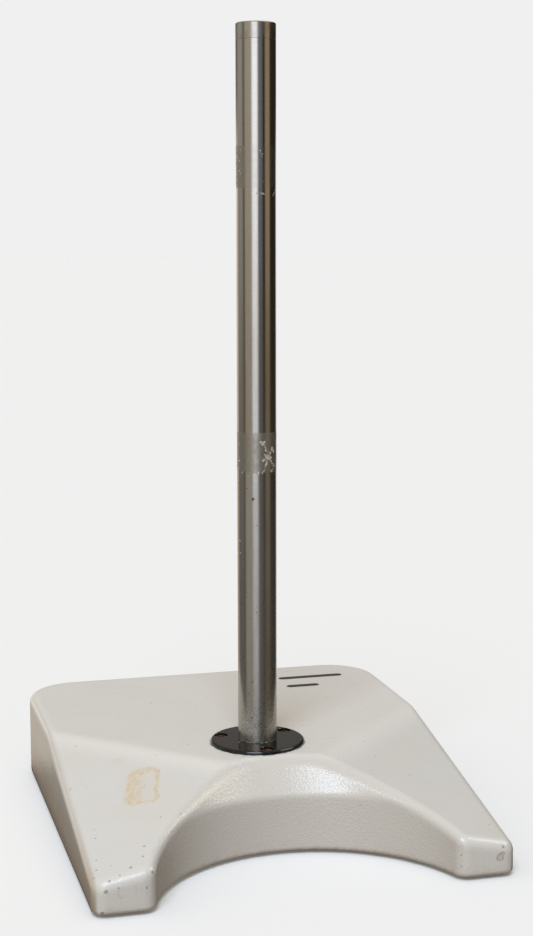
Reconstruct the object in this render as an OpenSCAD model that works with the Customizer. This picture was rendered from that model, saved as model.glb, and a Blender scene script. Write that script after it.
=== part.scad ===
// Table stand: a cast base with a front cut-out, and a bolted steel column.
// Millimetres. +Z is up and -Y is the front. The origin is on the surface that the feet
// stand on, under the middle of the base's plan.

/* [Base casting] */
// Width across the parallel sides
base_w = 330; // [310:5:350]
// Depth from the toe fronts to the rear face
base_d = 394; // [384:2:410]
// Height of the flat top above the casting's lower rim
base_h = 71.5; // [68:0.5:76]
// Wall thickness of the casting
wall = 9; // [7:0.5:11]
// Plan radius of the two rear corners
rear_corner_r = 45; // [30:1:55]
// Plan radius of the outer corner of each toe
toe_corner_r = 10; // [3:1:14]
// Slope of the two front facets, in degrees
facet_slope = 16.2; // [14:0.1:18]
// How far the facets' meeting point lies in front of the column's axis
facet_start = 88.5; // [84:0.5:94]

/* [Cut-out] */
// Radius of the cut-out's upright wall
cutout_r = 122; // [112:1:124]
// How far the centre of the cut-out lies in front of the toes
cutout_out = 31; // [28:1:36]
// Height of the upright wall above the casting's rim
cutout_wall_h = 45.5; // [40:0.5:50]
// Radius of the flared edge where it meets the flat top
flare_r = 143; // [138:1:146]

/* [Column] */
// Distance of the column's axis in front of the middle of the plan
column_forward = 37; // [34:1:40]
// Outer diameter of the column
column_d = 32; // [30:0.5:34]
// Exposed height of the column above its flange, end plug included
column_h = 579; // [300:1:700]
// Diameter of the bore in the tube
column_bore_d = 22; // [20:1:24]
// Height of the end plug's head
plug_head_h = 13; // [8:1:20]

/* [Flange] */
// Diameter of the flange
flange_d = 78; // [76:0.5:84]
// How far the flange stands above the casting
flange_proud = 3; // [2:0.5:5]
// Pitch circle diameter of the three flange screws
screw_pcd = 63; // [62:0.5:64]

/* [Feet] */
// How far the feet stand below the casting's rim
foot_drop = 3; // [2:0.5:5]
// Diameter of a rubber foot
foot_d = 28; // [24:1:30]
// Distance of a foot's axis from the base's side
foot_inset_x = 30; // [28:1:32]
// Distance of a foot's axis from the toe front or the rear face
foot_inset_y = 33; // [31:1:35]

/* [Printed mark] */
// Length of the longer printed bar
mark_length = 62; // [30:1:70]
// Width of the longer printed bar
mark_width = 7.6; // [1:0.2:8]

/* [Hidden] */
$fn = 96;
slack = 0.1;
hidden_overlap = 1;
far = 400;

rim_z = foot_drop;
top_z = rim_z + base_h;
front_y = -base_d / 2;
rear_y = base_d / 2;
column_y = -column_forward;
facet_y = column_y - facet_start;
cutout_y = front_y - cutout_out;
flare_z = rim_z + cutout_wall_h;
flare_run = (flare_r - cutout_r) / (top_z - flare_z);

hub_d = 54;
flange_thick = 12;
flange_edge = 1.6;
flange_top_z = top_z + flange_proud;
flange_seat_z = flange_top_z - flange_thick;
hub_length = 20;
hub_seat_z = flange_seat_z - hub_length;
boss_d = 128;
boss_floor = 17.5;
boss_z = hub_seat_z - boss_floor;

column_foot_d = column_d - 2;
shoulder_w = 0.3;
foot_chamfer = (column_d - column_foot_d) / 2 - shoulder_w;
plug_spigot = 25;
column_top_z = flange_top_z + column_h;
seam_z = column_top_z - plug_head_h;
seam_edge = 0.3;
plug_edge = 0.8;
foot_plug_length = 40;

m6_d = 6;
m6_head_d = 10;
m6_head_h = 6;
m6_socket = 5;
m6_length = 20;
m6_sunk = 1.7;
m6_count = 3;
first_screw_angle = -90;
m6_head_z = flange_top_z - m6_sunk - m6_head_h;

m12_d = 12;
m12_hex = 19;
m12_head_h = 7.5;
draw_washer_d = 38;
draw_washer_h = 4;
spring_washer_d = 21;
spring_washer_h = 2.5;
draw_reach = 30;
spring_washer_z = boss_z - draw_washer_h - spring_washer_h;

foot_h = 12;
foot_recess_d = 12.4;
foot_washer_d = 11.6;
foot_washer_h = 1;
foot_washer_z = 6;
m5_d = 5;
m5_head_d = 9.4;
m5_head_h = 3.2;
m5_length = 16;
foot_block = 18;
toe_block_y = 52;

rib = 8;
rib_lift = 12;
seal_sunk = 0.03;
seal_lean = 0.1;
ink = 0.15;
mark_x = 101;
mark_y = 152;
mark_gap = 29;

FEET = [[-1, -1], [1, -1], [-1, 1], [1, 1]];

// The point on the standing surface under foot i
function foot_place(i) = [
    FEET[i][0] * (base_w / 2 - foot_inset_x), FEET[i][1] * (base_d / 2 - foot_inset_y), 0
];

function hex_radius(across_flats) = across_flats / (2 * cos(30));

// A cylinder on the column's axis between two heights
module on_column(d, z0, z1) {
    translate([0, column_y, z0]) cylinder(d = d, h = z1 - z0);
}

// What has to go to round one upright corner of a block to radius r
module corner_waste(r) {
    difference() {
        cube([2 * r, 2 * r, far]);
        translate([0, 0, -hidden_overlap]) cylinder(r = r, h = far + 2 * hidden_overlap);
    }
}

// The plan of the base as an upright block, with every wall moved in by inset
module plan_block(inset) {
    half_w = base_w / 2 - inset;
    half_d = base_d / 2 - inset;
    low_z = inset > 0 ? rim_z - hidden_overlap : rim_z;
    difference() {
        translate([-half_w, -half_d, low_z]) cube([2 * half_w, 2 * half_d, top_z - inset - low_z]);
        for (side = FEET) {
            r = side[1] > 0 ? rear_corner_r - inset : max(toe_corner_r - inset, 2);
            translate([side[0] * (half_w - r), side[1] * (half_d - r), -hidden_overlap])
                rotate([0, 0, atan2(side[1], side[0]) - 45])
                    corner_waste(r);
        }
    }
}

// Everything above the two facets that fall away to the toes
module above_facets(inset) {
    for (side = [0, 1])
        mirror([side, 0, 0])
            translate([0, facet_y, top_z])
                rotate([0, 0, 45])
                    rotate([facet_slope, 0, 0])
                        translate([-far, -far, -inset]) cube([2 * far, far, far]);
}

// The front cut-out: an upright round wall under a flared edge
module cutout(inset) {
    flare_low = flare_z - 15;
    flare_shift = inset * sqrt(1 + flare_run * flare_run);
    translate([0, cutout_y, rim_z - 2 * hidden_overlap])
        cylinder(r = cutout_r + inset, h = base_h + 3 * hidden_overlap, $fn = 180);
    translate([0, cutout_y, flare_low])
        cylinder(
            r1 = cutout_r + (flare_low - flare_z) * flare_run + flare_shift,
            r2 = flare_r + hidden_overlap * flare_run + flare_shift,
            h = top_z + hidden_overlap - flare_low,
            $fn = 180
        );
}

// The casting's solid form with every face but the rim moved in by inset
module casting_form(inset) {
    difference() {
        plan_block(inset);
        above_facets(inset);
        cutout(inset);
    }
}

// Three ribs that run from the column boss to the rear wall and to the two side walls
module ribs() {
    rib_z = rim_z + rib_lift;
    difference() {
        union() {
            translate([-rib / 2, column_y, rib_z]) cube([rib, far, base_h]);
            translate([-far / 2, column_y - rib / 2, rib_z]) cube([far, rib, base_h]);
        }
        on_column(boss_d - rib, 0, boss_z);
    }
}

// The metal left standing in the hollow: column boss, ribs and the blocks over the feet
module hollow_core() {
    on_column(boss_d, boss_z, top_z);
    translate([-boss_d / 2, column_y - boss_d, boss_z]) cube([boss_d, boss_d, base_h]);
    ribs();
    for (side = [-1, 1]) {
        foot_x = base_w / 2 - foot_inset_x;
        rear_foot_y = rear_y - foot_inset_y;
        translate([side * (foot_x - foot_block + far / 2), rear_foot_y - foot_block + far / 2, foot_h + far / 2])
            cube(far, center = true);
        translate([side * far / 2, front_y + toe_block_y - far / 2, foot_h + far / 2])
            cube(far, center = true);
    }
}

// A socket-head screw standing on z = 0 under its head, pointing down
module socket_screw(d, head_d, head_h, socket, length) {
    difference() {
        union() {
            cylinder(d = head_d, h = head_h - 0.5);
            translate([0, 0, head_h - 0.5]) cylinder(d1 = head_d, d2 = head_d - 1, h = 0.5);
            translate([0, 0, -length]) cylinder(d = d - slack, h = length + hidden_overlap);
        }
        translate([0, 0, head_h / 2])
            cylinder(r = hex_radius(socket), h = head_h, $fn = 6);
    }
}

module base_casting() {
    color([0.80, 0.79, 0.76])
    difference() {
        casting_form(0);
        difference() {
            casting_form(wall);
            hollow_core();
        }
        on_column(flange_d + 3 * slack, flange_seat_z, top_z + hidden_overlap);
        on_column(hub_d + 2 * slack, hub_seat_z, top_z);
        on_column(m12_d + 1.5, boss_z - hidden_overlap, top_z);
        for (i = [0 : m6_count - 1])
            flange_screw_place(i)
                translate([0, 0, m6_head_z - m6_length - 2])
                    cylinder(d = m6_d, h = m6_length + 2);
        for (i = [0 : 3])
            translate(foot_place(i))
                translate([0, 0, foot_h - hidden_overlap])
                    cylinder(d = m5_d, h = m5_length - foot_washer_z + hidden_overlap);
    }
}

module column_flange() {
    color([0.07, 0.07, 0.07])
    difference() {
        union() {
            on_column(flange_d, flange_seat_z, flange_top_z - flange_edge);
            translate([0, column_y, flange_top_z - flange_edge])
                cylinder(d1 = flange_d, d2 = flange_d - 2 * flange_edge, h = flange_edge);
            on_column(hub_d, hub_seat_z, flange_seat_z + hidden_overlap);
        }
        on_column(column_foot_d + slack, hub_seat_z - hidden_overlap, flange_top_z + hidden_overlap);
        for (i = [0 : m6_count - 1])
            flange_screw_place(i) {
                cylinder(d = m6_d + 0.6, h = far);
                translate([0, 0, m6_head_z]) cylinder(d = m6_head_d + 1, h = far);
            }
    }
}

// The steel tube, turned down where it enters the flange so that its shoulder rests on it
module column_tube() {
    color([0.62, 0.61, 0.59])
    difference() {
        union() {
            on_column(column_foot_d, hub_seat_z, flange_top_z + hidden_overlap);
            translate([0, column_y, flange_top_z])
                cylinder(d1 = column_foot_d + 2 * shoulder_w, d2 = column_d, h = foot_chamfer);
            on_column(column_d, flange_top_z + foot_chamfer, seam_z - seam_edge);
            translate([0, column_y, seam_z - seam_edge])
                cylinder(d1 = column_d, d2 = column_d - 2 * seam_edge, h = seam_edge);
        }
        on_column(column_bore_d, hub_seat_z - hidden_overlap, seam_z + hidden_overlap);
    }
}

module column_end_plug() {
    color([0.64, 0.63, 0.61]) {
        on_column(column_bore_d, seam_z - plug_spigot, seam_z + hidden_overlap);
        translate([0, column_y, seam_z])
            cylinder(d1 = column_d - 2 * seam_edge, d2 = column_d, h = seam_edge);
        on_column(column_d, seam_z + seam_edge, column_top_z - plug_edge);
        translate([0, column_y, column_top_z - plug_edge])
            cylinder(d1 = column_d, d2 = column_d - 2 * plug_edge, h = plug_edge);
    }
}

// The threaded plug in the foot of the tube that the draw bolt pulls on
module column_foot_plug() {
    color([0.55, 0.55, 0.56])
    difference() {
        on_column(column_bore_d, hub_seat_z, hub_seat_z + foot_plug_length);
        on_column(m12_d, hub_seat_z - hidden_overlap, hub_seat_z + draw_reach + 2);
    }
}

// The thin line of sealing compound under the chamfer at the foot of the column
module column_seal() {
    seal_r = column_d / 2 - seal_sunk;
    inner_r = column_d / 2 - foot_chamfer;
    color([0.62, 0.55, 0.30])
    translate([0, column_y, flange_top_z])
        rotate_extrude()
            polygon([[inner_r, 0], [seal_r, 0], [seal_r - seal_lean, seal_r - seal_lean - inner_r]]);
}

module flange_screw_place(i) {
    translate([0, column_y, 0])
        rotate([0, 0, first_screw_angle + 360 / m6_count * i])
            translate([screw_pcd / 2, 0, 0])
                children();
}

module flange_screw(i) {
    color([0.36, 0.16, 0.12])
    flange_screw_place(i)
        translate([0, 0, m6_head_z])
            socket_screw(m6_d, m6_head_d, m6_head_h, m6_socket, m6_length);
}

module draw_washer() {
    color([0.70, 0.70, 0.70])
    difference() {
        on_column(draw_washer_d, boss_z - draw_washer_h, boss_z);
        on_column(m12_d + 1, boss_z - draw_washer_h - hidden_overlap, boss_z + hidden_overlap);
    }
}

// A split ring, cut on the side that faces the rear
module draw_spring_washer() {
    gap = 2;
    color([0.35, 0.35, 0.37])
    difference() {
        on_column(spring_washer_d, spring_washer_z, spring_washer_z + spring_washer_h);
        on_column(m12_d + 0.4, spring_washer_z - hidden_overlap, boss_z);
        translate([-gap / 2, column_y, spring_washer_z - hidden_overlap])
            cube([gap, spring_washer_d, spring_washer_h + 2 * hidden_overlap]);
    }
}

module draw_bolt() {
    color([0.45, 0.45, 0.47]) {
        translate([0, column_y, spring_washer_z - m12_head_h])
            cylinder(r = hex_radius(m12_hex), h = m12_head_h, $fn = 6);
        on_column(m12_d - slack, spring_washer_z - hidden_overlap, hub_seat_z + draw_reach);
    }
}

module foot(i) {
    tread = 1;
    color([0.10, 0.10, 0.10])
    translate(foot_place(i))
        difference() {
            union() {
                cylinder(d1 = foot_d - 2 * tread, d2 = foot_d, h = tread);
                translate([0, 0, tread]) cylinder(d = foot_d, h = foot_h - tread);
            }
            translate([0, 0, -hidden_overlap])
                cylinder(d = foot_recess_d, h = foot_washer_z + foot_washer_h + hidden_overlap);
            cylinder(d = m5_d + 0.6, h = foot_h + hidden_overlap);
        }
}

module foot_washer(i) {
    color([0.72, 0.72, 0.70])
    translate(foot_place(i) + [0, 0, foot_washer_z])
        difference() {
            cylinder(d = foot_washer_d, h = foot_washer_h);
            translate([0, 0, -hidden_overlap])
                cylinder(d = m5_d + 0.4, h = foot_washer_h + 2 * hidden_overlap);
        }
}

// A pan-head screw that holds one foot, with a hexagon socket in its head
module foot_screw(i) {
    edge = 0.8;
    color([0.55, 0.55, 0.55])
    translate(foot_place(i) + [0, 0, foot_washer_z])
        difference() {
            union() {
                translate([0, 0, -m5_head_h])
                    cylinder(d1 = m5_head_d - 2 * edge, d2 = m5_head_d, h = edge);
                translate([0, 0, edge - m5_head_h]) cylinder(d = m5_head_d, h = m5_head_h - edge);
                translate([0, 0, -hidden_overlap])
                    cylinder(d = m5_d - slack, h = m5_length - 1);
            }
            translate([0, 0, -m5_head_h - hidden_overlap])
                cylinder(r = hex_radius(3), h = hidden_overlap + m5_head_h / 2, $fn = 6);
        }
}

// One printed bar with round ends, on the casting's flat top
module printed_bar(x, y, length, width) {
    translate([x, y, top_z])
        linear_extrude(ink)
            union() {
                square([length - width, width], center = true);
                for (side = [-1, 1])
                    translate([side * (length - width) / 2, 0]) circle(d = width, $fn = 24);
            }
}

module printed_mark() {
    color([0.10, 0.10, 0.11]) {
        printed_bar(mark_x, mark_y, mark_length, mark_width);
        printed_bar(mark_x - mark_length / 4, mark_y - mark_gap, mark_length / 2, mark_width);
    }
}

base_casting();
column_flange();
column_tube();
column_end_plug();
column_foot_plug();
column_seal();
for (i = [0 : m6_count - 1])
    flange_screw(i);
draw_bolt();
draw_washer();
draw_spring_washer();
for (i = [0 : 3]) {
    foot(i);
    foot_washer(i);
    foot_screw(i);
}
printed_mark();
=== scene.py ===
"""Looks of a table stand: a painted cast base, a ground steel column and what holds them together.

Metres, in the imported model's frame: +Z is up, -Y is the front and the feet stand on z = 0.
"""
import itertools
import math
import random

import bmesh
import bpy
import numpy as np
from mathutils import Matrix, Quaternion, Vector


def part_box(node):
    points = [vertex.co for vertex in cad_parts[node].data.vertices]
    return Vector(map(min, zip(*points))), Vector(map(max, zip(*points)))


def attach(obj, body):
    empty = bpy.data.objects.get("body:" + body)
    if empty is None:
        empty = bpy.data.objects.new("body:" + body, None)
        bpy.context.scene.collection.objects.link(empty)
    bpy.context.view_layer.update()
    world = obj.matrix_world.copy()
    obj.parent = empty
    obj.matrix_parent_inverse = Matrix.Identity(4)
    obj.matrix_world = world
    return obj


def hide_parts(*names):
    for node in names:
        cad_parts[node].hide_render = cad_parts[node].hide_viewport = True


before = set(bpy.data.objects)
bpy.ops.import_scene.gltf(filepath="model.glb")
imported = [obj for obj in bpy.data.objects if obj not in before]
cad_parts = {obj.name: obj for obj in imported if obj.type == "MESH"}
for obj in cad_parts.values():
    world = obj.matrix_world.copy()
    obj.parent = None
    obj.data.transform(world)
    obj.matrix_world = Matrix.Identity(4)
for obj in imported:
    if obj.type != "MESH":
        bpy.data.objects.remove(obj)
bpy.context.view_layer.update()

MM = 0.001

# ------------ places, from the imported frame

BASE_LOW, BASE_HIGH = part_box("base_casting")
FLANGE_LOW, FLANGE_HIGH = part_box("column_flange")
TUBE_LOW, TUBE_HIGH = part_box("column_tube")
PLUG_LOW, PLUG_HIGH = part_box("column_end_plug")
BOSS_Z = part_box("draw_washer")[1].z
FOOT_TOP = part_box("foot_1")[1].z

COLUMN_Y = (TUBE_LOW.y + TUBE_HIGH.y) / 2
COLUMN_R = (TUBE_HIGH.x - TUBE_LOW.x) / 2
FLANGE_R = (FLANGE_HIGH.x - FLANGE_LOW.x) / 2
FLANGE_TOP = FLANGE_HIGH.z
SEAM_Z = TUBE_HIGH.z
RIM_Z = BASE_LOW.z
TOP_Z = BASE_HIGH.z
FRONT_Y = BASE_LOW.y
REAR_Y = BASE_HIGH.y
HALF_W = BASE_HIGH.x


# ------------ small mesh tools

def new_object(name, data):
    """A new object in the scene."""
    piece = bpy.data.objects.new(name, data)
    bpy.context.scene.collection.objects.link(piece)
    return piece


def new_piece(name, work):
    """A new object from a bmesh, which is freed."""
    mesh = bpy.data.meshes.new(name)
    work.to_mesh(mesh)
    work.free()
    return new_object(name, mesh)


def finish_piece(piece, slot, material, *replaced):
    """Gives a piece its one material and its body, and says which CAD nodes it replaces. The slot is not
    used.
    """
    piece.data.materials.clear()
    piece.data.materials.append(material)
    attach(piece, "root")
    if replaced:
        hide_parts(*replaced)
    return piece


def smooth_by_angle(mesh):
    """Smooth shading that keeps the sharper edges."""
    limit = math.radians(35)
    work = bmesh.new()
    work.from_mesh(mesh)
    for face in work.faces:
        face.smooth = True
    for edge in work.edges:
        edge.smooth = len(edge.link_faces) == 2 and edge.calc_face_angle(0) < limit
    work.to_mesh(mesh)
    work.free()


def lathe(name, profile, centre, steps=128):
    """A closed solid of revolution about a vertical axis. A profile point on the axis has radius 0."""
    work = bmesh.new()
    rings = []
    for radius, height in profile:
        if radius == 0:
            rings.append([work.verts.new((centre[0], centre[1], height))])
            continue
        ring = []
        for i in range(steps):
            turn = 2 * math.pi * i / steps
            place = (centre[0] + radius * math.cos(turn), centre[1] + radius * math.sin(turn), height)
            ring.append(work.verts.new(place))
        rings.append(ring)
    off_axis = profile[0][0] != 0
    nexts = rings[1:] + rings[:1] if off_axis else rings[1:]
    for low, high in zip(rings, nexts):
        for i in range(steps):
            j = (i + 1) % steps
            corners = [low[i % len(low)], low[j % len(low)], high[j % len(high)], high[i % len(high)]]
            face = [v for k, v in enumerate(corners) if v not in corners[:k]]
            if len(face) > 2:
                work.faces.new(face)
    bmesh.ops.recalc_face_normals(work, faces=work.faces)
    piece = new_piece(name, work)
    smooth_by_angle(piece.data)
    return piece


def rounded(profile, radius, steps):
    """The profile with each inner corner turned into a short arc of about that radius."""
    result = [profile[0]]
    for before, here, after in zip(profile, profile[1:], profile[2:]):
        here_v = Vector(here)
        back = Vector(before) - here_v
        ahead = Vector(after) - here_v
        reach = min(radius, back.length * 0.45, ahead.length * 0.45)
        start = here_v + back.normalized() * reach
        end = here_v + ahead.normalized() * reach
        for i in range(steps + 1):
            t = i / steps
            result.append(tuple((1 - t) ** 2 * start + 2 * t * (1 - t) * here_v + t ** 2 * end))
    result.append(profile[-1])
    return result


def cut(piece, cutter):
    """Takes the cutter's solid out of the piece for good, and removes the cutter."""
    change = piece.modifiers.new("cut", "BOOLEAN")
    change.operation = "DIFFERENCE"
    change.solver = "EXACT"
    change.object = cutter
    graph = bpy.context.evaluated_depsgraph_get()
    result = bpy.data.meshes.new_from_object(piece.evaluated_get(graph))
    piece.modifiers.clear()
    piece.data = result
    bpy.data.objects.remove(cutter)


def hexagon_hole(name, centre, across_flats, low, high):
    """A hexagonal prism, used as a cutter for a socket."""
    radius = across_flats / math.sqrt(3)
    work = bmesh.new()
    bmesh.ops.create_cone(work, cap_ends=True, segments=6, radius1=radius, radius2=radius, depth=high - low)
    bmesh.ops.translate(work, vec=(*centre, (low + high) / 2), verts=work.verts)
    return new_piece(name, work)


# ------------ the casting's shape

CUTOUT_R = 122 * MM
CUTOUT_Y = FRONT_Y - 31 * MM
FLARE_Z = RIM_Z + 45.5 * MM
FLARE_TOP_R = 101.3 * MM
FLARE_TOP_Y = COLUMN_Y - 148.2 * MM
FLARE_SOFT = 1.2 * MM
FLARE_LEAN = 0.8
CUTOUT_SOFT = 2 * MM
FACET_Y = COLUMN_Y - 88.5 * MM
FACET_SLOPE = math.radians(16.2)
FACET_SOFT = 1.6 * MM
REAR_CORNER_R = 45 * MM
TOE_CORNER_R = 10 * MM
EDGE_R = 7 * MM
CUTOUT_EDGE_R = 7 * MM
RIM_EDGE_R = 1.8 * MM
WALL = 9 * MM
RIB = 8 * MM
RIB_CLEAR = 12 * MM
BOSS_R = 64 * MM
CORE_EDGE_R = 5 * MM
BLOCK_INNER_X = 117 * MM
REAR_BLOCK = 51 * MM
TOE_BLOCK = 52 * MM
GRID = 2.5 * MM


def round_meet(a, b, radius):
    """Where two solids overlap, with the edge between them rounded. Negative is inside."""
    beyond = np.hypot(np.maximum(a + radius, 0), np.maximum(b + radius, 0))
    return np.minimum(np.maximum(a, b), -radius) + beyond


def soft_max(a, b, width):
    """The larger of two values, blended where they are nearly the same."""
    blend = np.maximum(width - np.abs(a - b), 0) / width
    return np.maximum(a, b) + blend * blend * width / 4


def plan_distance(x, y):
    """Distance from the upright outer walls."""
    corner = np.where(y > 0, REAR_CORNER_R, TOE_CORNER_R)
    qx = np.abs(x) - HALF_W + corner
    qy = np.abs(y) - REAR_Y + corner
    return np.minimum(np.maximum(qx, qy), 0) + np.hypot(np.maximum(qx, 0), np.maximum(qy, 0)) - corner


def roof_distance(x, y, z):
    """Distance from the flat top and the two facets that fall to the toes."""
    outward = (np.abs(x) - (y - FACET_Y)) / math.sqrt(2)
    facet = (z - TOP_Z) * math.cos(FACET_SLOPE) + outward * math.sin(FACET_SLOPE)
    return soft_max(z - TOP_Z, facet, FACET_SOFT)


def cutout_distance(x, y, z):
    """Distance from the cut-out, negative inside it: an upright wall with a flare above it.
    Higher up, the flare's outline is a smaller circle that lies further back."""
    rise = (z - FLARE_Z) / (TOP_Z - FLARE_Z)
    soft = FLARE_SOFT / (TOP_Z - FLARE_Z)
    rise = (rise + np.sqrt(rise * rise + soft * soft)) / 2
    centre_y = CUTOUT_Y + (FLARE_TOP_Y - CUTOUT_Y) * rise
    radius = CUTOUT_R + (FLARE_TOP_R - CUTOUT_R) * rise
    wall = np.hypot(x, y - CUTOUT_Y) - CUTOUT_R
    flare = (np.hypot(x, y - centre_y) - radius) * FLARE_LEAN
    return -soft_max(-wall, -flare, CUTOUT_SOFT)


def shell_distance(x, y, z):
    """The casting's outer form with no floor."""
    outer = round_meet(plan_distance(x, y), roof_distance(x, y, z), EDGE_R)
    return round_meet(outer, -cutout_distance(x, y, z), CUTOUT_EDGE_R)


def core_distance(x, y, z):
    """The metal left in the hollow: column boss, ribs and the blocks over the feet."""
    boss_plan = np.minimum(
        np.hypot(x, y - COLUMN_Y) - BOSS_R,
        np.maximum(np.abs(x) - BOSS_R, y - COLUMN_Y),
    )
    boss = np.maximum(boss_plan, BOSS_Z - z)
    rib_plan = np.minimum(
        np.maximum(np.abs(x) - RIB / 2, COLUMN_Y - y),
        np.abs(y - COLUMN_Y) - RIB / 2,
    )
    clear_boss = BOSS_R - RIB / 2 - np.hypot(x, y - COLUMN_Y)
    ribs = np.maximum(np.maximum(rib_plan, RIM_Z + RIB_CLEAR - z), np.minimum(clear_boss, BOSS_Z - z))
    rear_block = np.maximum(BLOCK_INNER_X - np.abs(x), REAR_Y - REAR_BLOCK - y)
    toe_block = y - FRONT_Y - TOE_BLOCK
    blocks = np.maximum(np.minimum(rear_block, toe_block), FOOT_TOP - z)
    joined = -soft_max(-boss, -ribs, CORE_EDGE_R)
    return -soft_max(-joined, -blocks, CORE_EDGE_R)


def casting_distance(points):
    """Signed distance, near enough, from the casting's skin. Negative is metal."""
    x, y, z = points[..., 0], points[..., 1], points[..., 2]
    shell = shell_distance(x, y, z)
    outside = round_meet(shell, RIM_Z - z, RIM_EDGE_R)
    hollow = round_meet(shell + WALL, -core_distance(x, y, z), CORE_EDGE_R)
    return round_meet(outside, -hollow, RIM_EDGE_R)


def slope_of(field, points):
    """The field's gradient at the points."""
    step = 0.05 * MM
    result = np.empty_like(points)
    for axis in range(3):
        shift = np.zeros(3)
        shift[axis] = step
        result[:, axis] = (field(points + shift) - field(points - shift)) / (2 * step)
    return result


def drop_on_surface(field, points, rounds=3):
    """Moves points along the gradient until they lie on the surface."""
    for _ in range(rounds):
        slope = slope_of(field, points)
        size = np.maximum((slope * slope).sum(1), 0.05)
        move = slope * (field(points) / size)[:, None]
        length = np.linalg.norm(move, axis=1, keepdims=True)
        points = points - move * np.minimum(1, GRID / np.maximum(length, 1e-9))
    return points


def paired_windows(axis, border):
    """Two windows on a grid that pair each node with the next one along an axis."""
    near, far = [[slice(border, -border or None)] * 3 for _ in range(2)]
    near[axis], far[axis] = slice(0, -1), slice(1, None)
    return tuple(near), tuple(far)


def surface_mesh(field, low, high, pitch):
    """A quad mesh of the surface where the field is zero: one point in each grid cell that it crosses."""
    counts = [int(math.ceil((high[i] - low[i]) / pitch)) + 5 for i in range(3)]
    start = np.array([low[i] - 2 * pitch for i in range(3)])
    axes = [start[i] + pitch * np.arange(counts[i]) for i in range(3)]
    nodes = np.stack(np.meshgrid(*axes, indexing="ij"), -1)
    values = field(nodes)
    inside = values < 0
    cells = tuple(n - 1 for n in counts)
    total = np.zeros(cells + (3,))
    hits = np.zeros(cells)
    for axis in range(3):
        near, far = paired_windows(axis, 0)
        a, b = values[near], values[far]
        crossed = inside[near] != inside[far]
        share = np.where(crossed, a / np.where(crossed, a - b, 1), 0)
        spot = nodes[near].copy()
        spot[..., axis] += share * pitch
        others = [i for i in range(3) if i != axis]
        for sides in itertools.product((0, 1), repeat=2):
            window = [slice(None)] * 3
            for other, side in zip(others, sides):
                window[other] = slice(side, counts[other] - 1 + side)
            window = tuple(window)
            total += np.where(crossed[window][..., None], spot[window], 0)
            hits += crossed[window]
    used = hits > 0
    index = np.full(cells, -1)
    index[used] = np.arange(used.sum())
    points = total[used] / hits[used][:, None]
    quads = []
    for axis in range(3):
        near, far = paired_windows(axis, 1)
        a, b = inside[near], inside[far]
        one, two = [(axis + 1) % 3, (axis + 2) % 3]
        where = np.argwhere(a != b)
        where[:, one] += 1
        where[:, two] += 1
        leaving = a[a != b]
        ring = []
        for back_one, back_two in ((1, 1), (0, 1), (0, 0), (1, 0)):
            cell = where.copy()
            cell[:, one] -= back_one
            cell[:, two] -= back_two
            ring.append(index[tuple(cell.T)])
        ring = np.stack(ring, 1)
        quads.append(np.where(leaving[:, None], ring, ring[:, ::-1]))
    return points, np.concatenate(quads)


def relax(points, quads, field):
    """Evens out the quads while the points stay on the surface."""
    pairs = np.concatenate([quads[:, [i, (i + 1) % 4]] for i in range(4)])
    pairs = np.concatenate([pairs, pairs[:, ::-1]])
    for _ in range(3):
        total = np.zeros_like(points)
        count = np.zeros(len(points))
        np.add.at(total, pairs[:, 0], points[pairs[:, 1]])
        np.add.at(count, pairs[:, 0], 1)
        points = 0.5 * points + 0.5 * total / count[:, None]
        points = drop_on_surface(field, points, 1)
    return drop_on_surface(field, points, 3)


def cast_skin():
    """The casting with its soft cast edges, hollow from below."""
    points, quads = surface_mesh(casting_distance, BASE_LOW, BASE_HIGH, GRID)
    points = drop_on_surface(casting_distance, points)
    points = relax(points, quads, casting_distance)
    mesh = bpy.data.meshes.new("base_casting_skin")
    mesh.from_pydata(points.tolist(), [], quads.tolist())
    mesh.update()
    piece = new_object("base_casting_skin", mesh)
    for polygon in piece.data.polygons:
        polygon.use_smooth = True
    return piece


# ------------ turned and drilled pieces

SCREW_COUNT = 3
FOOT_COUNT = 4
SEAM_EDGE = 0.15 * MM
HUB_R = 27 * MM
FLANGE_SEAT = FLANGE_TOP - 12 * MM
SCREW_HEAD = 6 * MM
SCREW_HOLE_R = 3.3 * MM
COUNTERBORE_R = 5.5 * MM


def middle(node):
    """The centre of a CAD node's box, in plan."""
    low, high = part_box(node)
    return ((low.x + high.x) / 2, (low.y + high.y) / 2)


def turned_tube():
    """The column: a tube with a smaller foot inside the flange and a fine chamfer at each end."""
    bore = 11 * MM
    foot = COLUMN_R - 1 * MM
    chamfer_low = FLANGE_TOP + 0.7 * MM
    profile = [
        (bore, TUBE_LOW.z), (foot, TUBE_LOW.z), (foot, FLANGE_TOP), (foot + 0.3 * MM, FLANGE_TOP),
        (COLUMN_R, chamfer_low), (COLUMN_R, SEAM_Z - SEAM_EDGE), (COLUMN_R - SEAM_EDGE, SEAM_Z),
        (bore, SEAM_Z),
    ]
    return lathe("column_tube_turned", profile, (0, COLUMN_Y))


def turned_plug():
    """The end plug, with a rounded top edge and a spigot inside the tube."""
    edge = 0.8 * MM
    spigot = 10.95 * MM
    top = [(COLUMN_R, PLUG_HIGH.z - edge), (COLUMN_R - edge, PLUG_HIGH.z), (0, PLUG_HIGH.z)]
    profile = [
        (0, PLUG_LOW.z), (spigot, PLUG_LOW.z), (spigot, SEAM_Z),
        (COLUMN_R - SEAM_EDGE, SEAM_Z), (COLUMN_R, SEAM_Z + SEAM_EDGE),
    ]
    return lathe("column_end_plug_turned", profile + top, (0, COLUMN_Y))


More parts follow.
